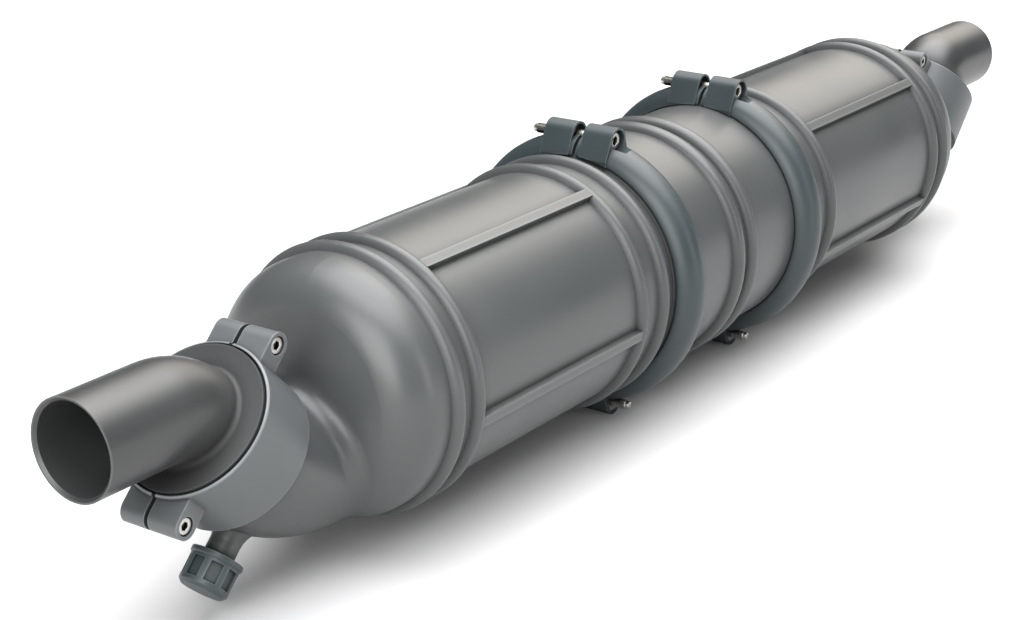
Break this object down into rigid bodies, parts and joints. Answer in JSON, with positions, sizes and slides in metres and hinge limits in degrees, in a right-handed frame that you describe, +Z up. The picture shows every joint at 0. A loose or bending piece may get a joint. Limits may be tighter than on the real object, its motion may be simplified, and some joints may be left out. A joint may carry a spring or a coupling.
{
  "type": "waterlock muffler",
  "caption": "Long inline waterlock muffler for a wet marine exhaust: ribbed plastic chambers in line, clamped to a middle ring, with swivelling hose elbows and drain plugs.",
  "frame": {"origin": "on the body axis, at the middle of the middle ring", "axes": "+X along the body axis towards the outlet, +Z up, -Y the side that the collar screws enter from"},
  "size_m": [0.9696, 0.1658, 0.1788],
  "materials": {
    "chamber_plastic": "satin moulded",
    "clamp_plastic": "satin moulded",
    "collar_plastic": "satin moulded",
    "elbow_plastic": "satin moulded",
    "cap_plastic": "satin moulded",
    "baffle_plastic": "satin moulded",
    "seal_rubber": "matte",
    "fastener_steel": "stainless"
  },
  "bodies": {
    "core": {"middle_ring": "chamber_plastic", "inlet_baffle": "baffle_plastic", "outlet_baffle": "baffle_plastic", "inlet_joint_seal": "seal_rubber", "outlet_joint_seal": "seal_rubber", "front_clamp_left": "clamp_plastic", "front_clamp_right": "clamp_plastic", "front_clamp_bolts": "fastener_steel", "front_clamp_nuts": "fastener_steel", "rear_clamp_left": "clamp_plastic", "rear_clamp_right": "clamp_plastic", "rear_clamp_bolts": "fastener_steel", "rear_clamp_nuts": "fastener_steel"},
    "inlet_body": {"inlet_chamber": "chamber_plastic", "inlet_collar_left": "collar_plastic", "inlet_collar_right": "collar_plastic", "inlet_collar_screws": "fastener_steel", "inlet_collar_nuts": "fastener_steel", "inlet_elbow_seal": "seal_rubber"},
    "inlet_bend": {"inlet_elbow": "elbow_plastic"},
    "inlet_drain_washer": {"inlet_drain_seal": "seal_rubber"},
    "inlet_drain_plug": {"inlet_drain_cap": "cap_plastic"},
    "outlet_body": {"outlet_chamber": "chamber_plastic", "outlet_collar_left": "collar_plastic", "outlet_collar_right": "collar_plastic", "outlet_collar_screws": "fastener_steel", "outlet_collar_nuts": "fastener_steel", "outlet_elbow_seal": "seal_rubber"},
    "outlet_bend": {"outlet_elbow": "elbow_plastic"},
    "outlet_drain_washer": {"outlet_drain_seal": "seal_rubber"},
    "outlet_drain_plug": {"outlet_drain_cap": "cap_plastic"}
  },
  "joints": [
    {"name": "inlet_chamber_turn", "type": "hinge", "parent": "core", "child": "inlet_body", "pos_m": [-0.073, 0, 0], "axis": [-1, 0, 0], "continuous": true},
    {"name": "inlet_swivel", "type": "hinge", "parent": "inlet_body", "child": "inlet_bend", "pos_m": [-0.4078, 0, 0.018], "axis": [-0.7071, 0, 0.7071], "continuous": true},
    {"name": "inlet_drain_lift", "type": "slide", "parent": "inlet_body", "child": "inlet_drain_washer", "axis": [-0.7071, 0, -0.7071], "range_m": [0, 0.01]},
    {"name": "inlet_drain_unscrew", "type": "hinge", "parent": "inlet_drain_washer", "child": "inlet_drain_plug", "pos_m": [-0.36269, 0, -0.02711], "axis": [-0.7071, 0, -0.7071], "range_deg": [0, 1440]},
    {"name": "outlet_chamber_turn", "type": "hinge", "parent": "core", "child": "outlet_body", "pos_m": [0.073, 0, 0], "axis": [1, 0, 0], "continuous": true},
    {"name": "outlet_swivel", "type": "hinge", "parent": "outlet_body", "child": "outlet_bend", "pos_m": [0.4078, 0, 0.018], "axis": [0.7071, 0, 0.7071], "continuous": true},
    {"name": "outlet_drain_lift", "type": "slide", "parent": "outlet_body", "child": "outlet_drain_washer", "axis": [0.7071, 0, -0.7071], "range_m": [0, 0.01]},
    {"name": "outlet_drain_unscrew", "type": "hinge", "parent": "outlet_drain_washer", "child": "outlet_drain_plug", "pos_m": [0.36269, 0, -0.02711], "axis": [0.7071, 0, -0.7071], "range_deg": [0, 1440]}
  ],
  "couplings": [
    {"joint": "inlet_drain_lift", "follows": "inlet_drain_unscrew", "m_per_rad": 0.00039789},
    {"joint": "outlet_drain_lift", "follows": "outlet_drain_unscrew", "m_per_rad": 0.00039789}
  ]
}
